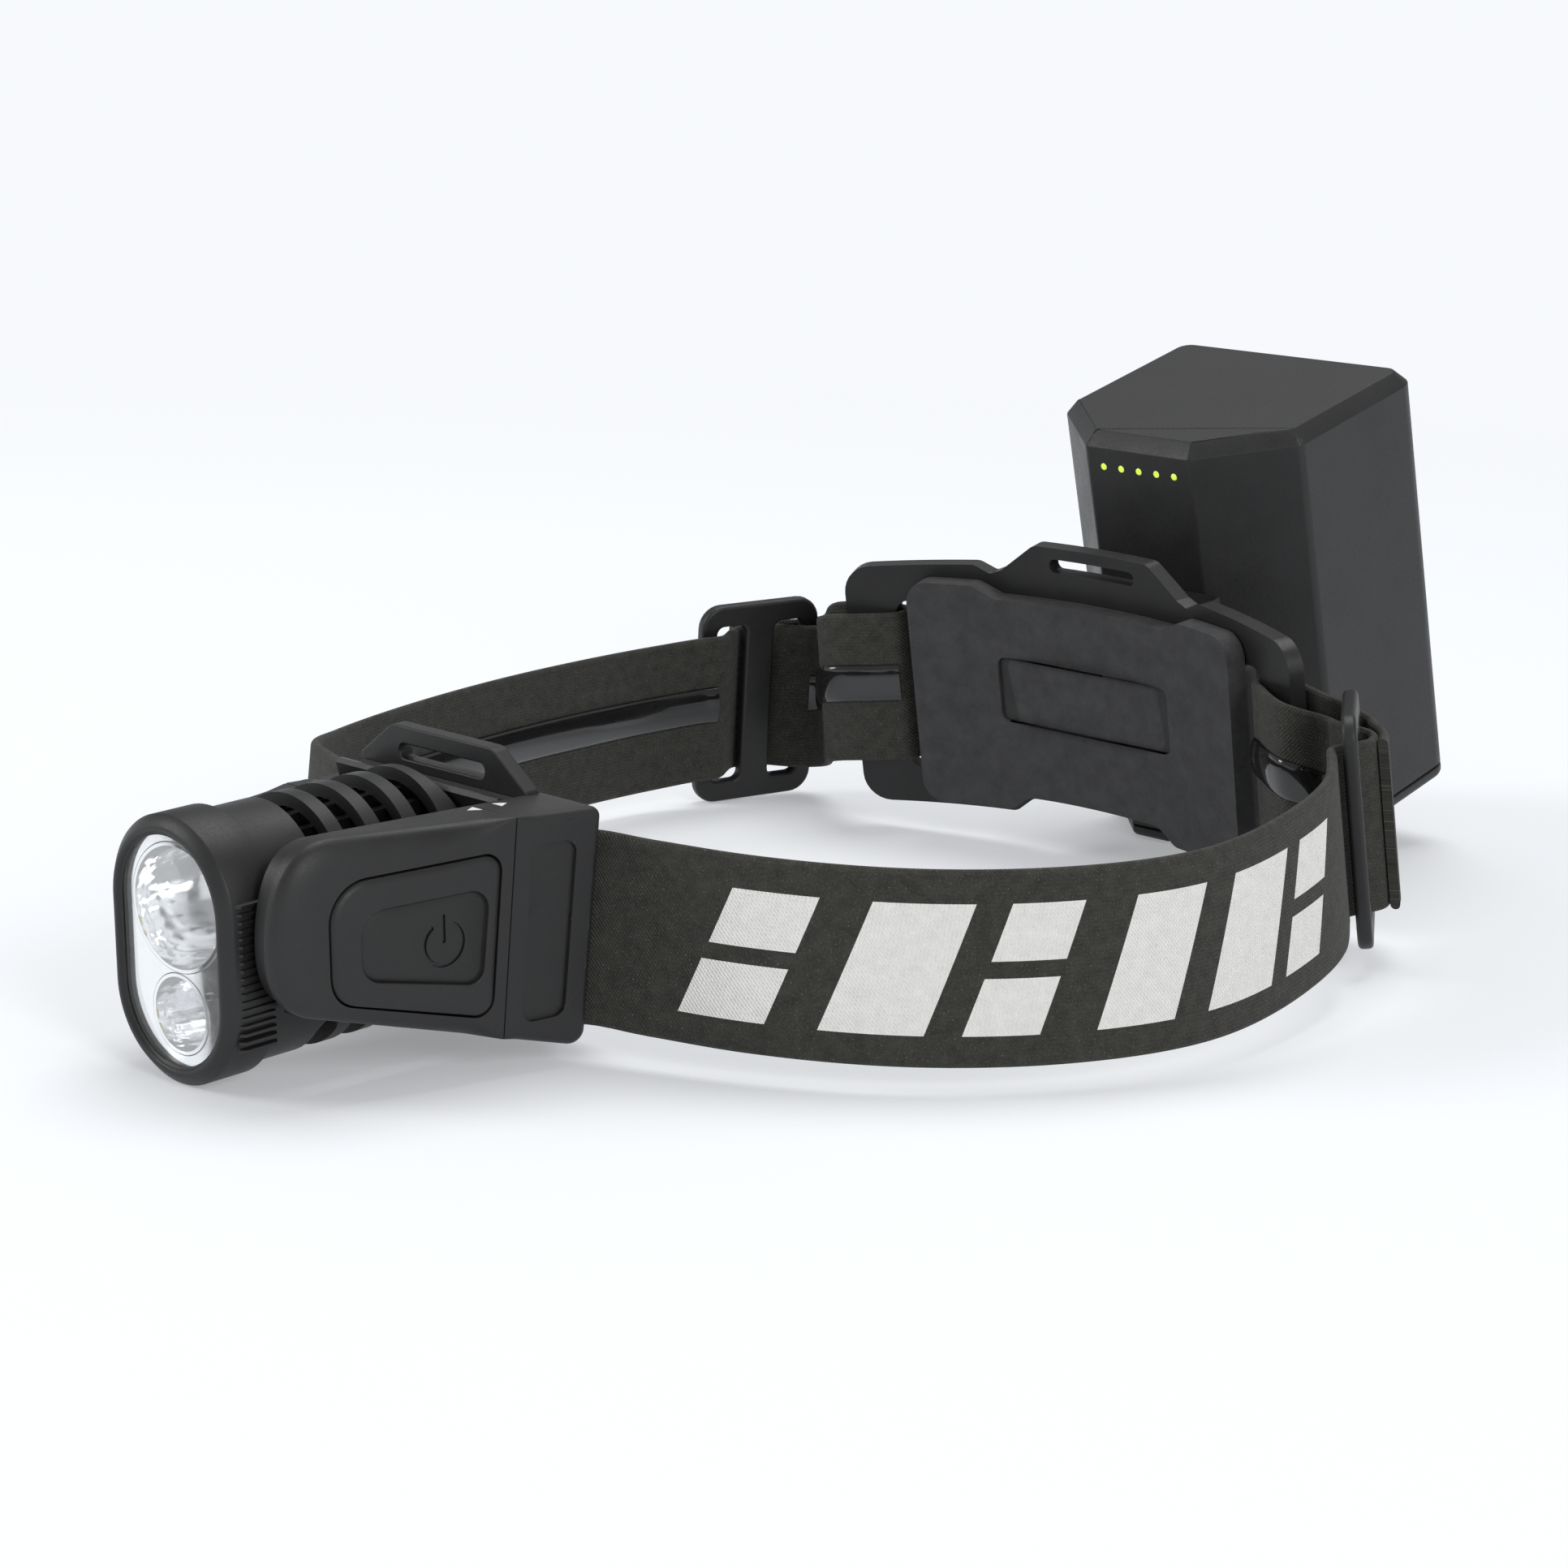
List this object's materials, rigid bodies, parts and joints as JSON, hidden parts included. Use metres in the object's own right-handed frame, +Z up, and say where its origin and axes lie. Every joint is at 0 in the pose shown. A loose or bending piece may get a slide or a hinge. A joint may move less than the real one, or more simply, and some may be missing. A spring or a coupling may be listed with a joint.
{
  "type": "headlamp",
  "caption": "Headlamp with a tilting lamp head in a forehead bracket, an elastic strap with two sliders, and a battery pack that slides off a dock behind the head.",
  "frame": {"origin": "centre of the foot of the bounding box, on the surface that the headlamp stands on", "axes": "-Y where the lamp shines, +X the side of the power button, +Z up"},
  "size_m": [0.1824, 0.294, 0.0943],
  "materials": {
    "shell": "satin charcoal",
    "steel": "plain",
    "cell": "cell wrap",
    "gold": "gold plated",
    "foam": "fine mottled grain",
    "rubber": "matt",
    "strip": "glossy black",
    "metal": "dark anodised",
    "indicator": "lit yellow-green",
    "board": "white solder mask",
    "led": "yellow phosphor",
    "lens": "clear",
    "reflector": "bright",
    "webbing": "elastic weave"
  },
  "bodies": {
    "bracket_and_strap": {"arm_cover_far": "shell", "arm_cover_near": "shell", "battery_dock": "shell", "bracket_frame": "shell", "cap_screw_far_lower": "steel", "cap_screw_far_upper": "steel", "cap_screw_near_lower": "steel", "cap_screw_near_upper": "steel", "dock_pin_minus": "gold", "dock_pin_plus": "gold", "dock_screw_1": "steel", "dock_screw_2": "steel", "dock_screw_3": "steel", "dock_screw_4": "steel", "end_cap_far": "shell", "end_cap_near": "shell", "forehead_pad": "foam", "forehead_plate": "shell", "grip_strip_far": "strip", "grip_strip_near": "strip", "rear_pad": "foam", "rear_plate": "shell", "slider_far": "shell", "slider_near": "shell", "strap_far": "webbing", "strap_near": "webbing", "switch_board": "board", "switch_dome": "steel"},
    "lamp_head": {"bezel": "shell", "friction_washer_far": "rubber", "friction_washer_near": "rubber", "heatsink": "metal", "led_board": "board", "led_flood": "led", "led_spot": "led", "lens": "lens", "lens_seal": "rubber", "pivot_pin_far": "steel", "pivot_pin_near": "steel", "reflector_flood": "reflector", "reflector_spot": "reflector", "vent_sleeve": "shell"},
    "button": {"power_button": "rubber"},
    "battery_pack": {"battery_base": "shell", "battery_case": "shell", "cell_1": "cell", "cell_2": "cell", "cell_3": "cell", "cell_4": "cell", "charge_port": "steel", "indicator_1": "indicator", "indicator_2": "indicator", "indicator_3": "indicator", "indicator_4": "indicator", "indicator_5": "indicator", "indicator_board": "board", "pack_board": "board", "pack_contact_minus": "gold", "pack_contact_plus": "gold"},
    "charge_port_cover": {"port_cover": "rubber"}
  },
  "joints": [
    {"name": "lamp_tilt", "type": "hinge", "parent": "bracket_and_strap", "child": "lamp_head", "pos_m": [-0.0029, -0.13268, 0.02627], "axis": [1, 0, 0], "range_deg": [0, 50]},
    {"name": "button_press", "type": "slide", "parent": "bracket_and_strap", "child": "button", "axis": [-1, 0, 0], "range_m": [0, 0.0008], "stiffness_N_per_m": 1500},
    {"name": "pack_slide", "type": "slide", "parent": "bracket_and_strap", "child": "battery_pack", "axis": [0, -0.2729, 0.962], "range_m": [0, 0.036]},
    {"name": "port_cover_hinge", "type": "hinge", "parent": "battery_pack", "child": "charge_port_cover", "pos_m": [-0.0029, 0.11315, 0.00358], "axis": [1, 0, 0], "range_deg": [0, 90]}
  ]
}
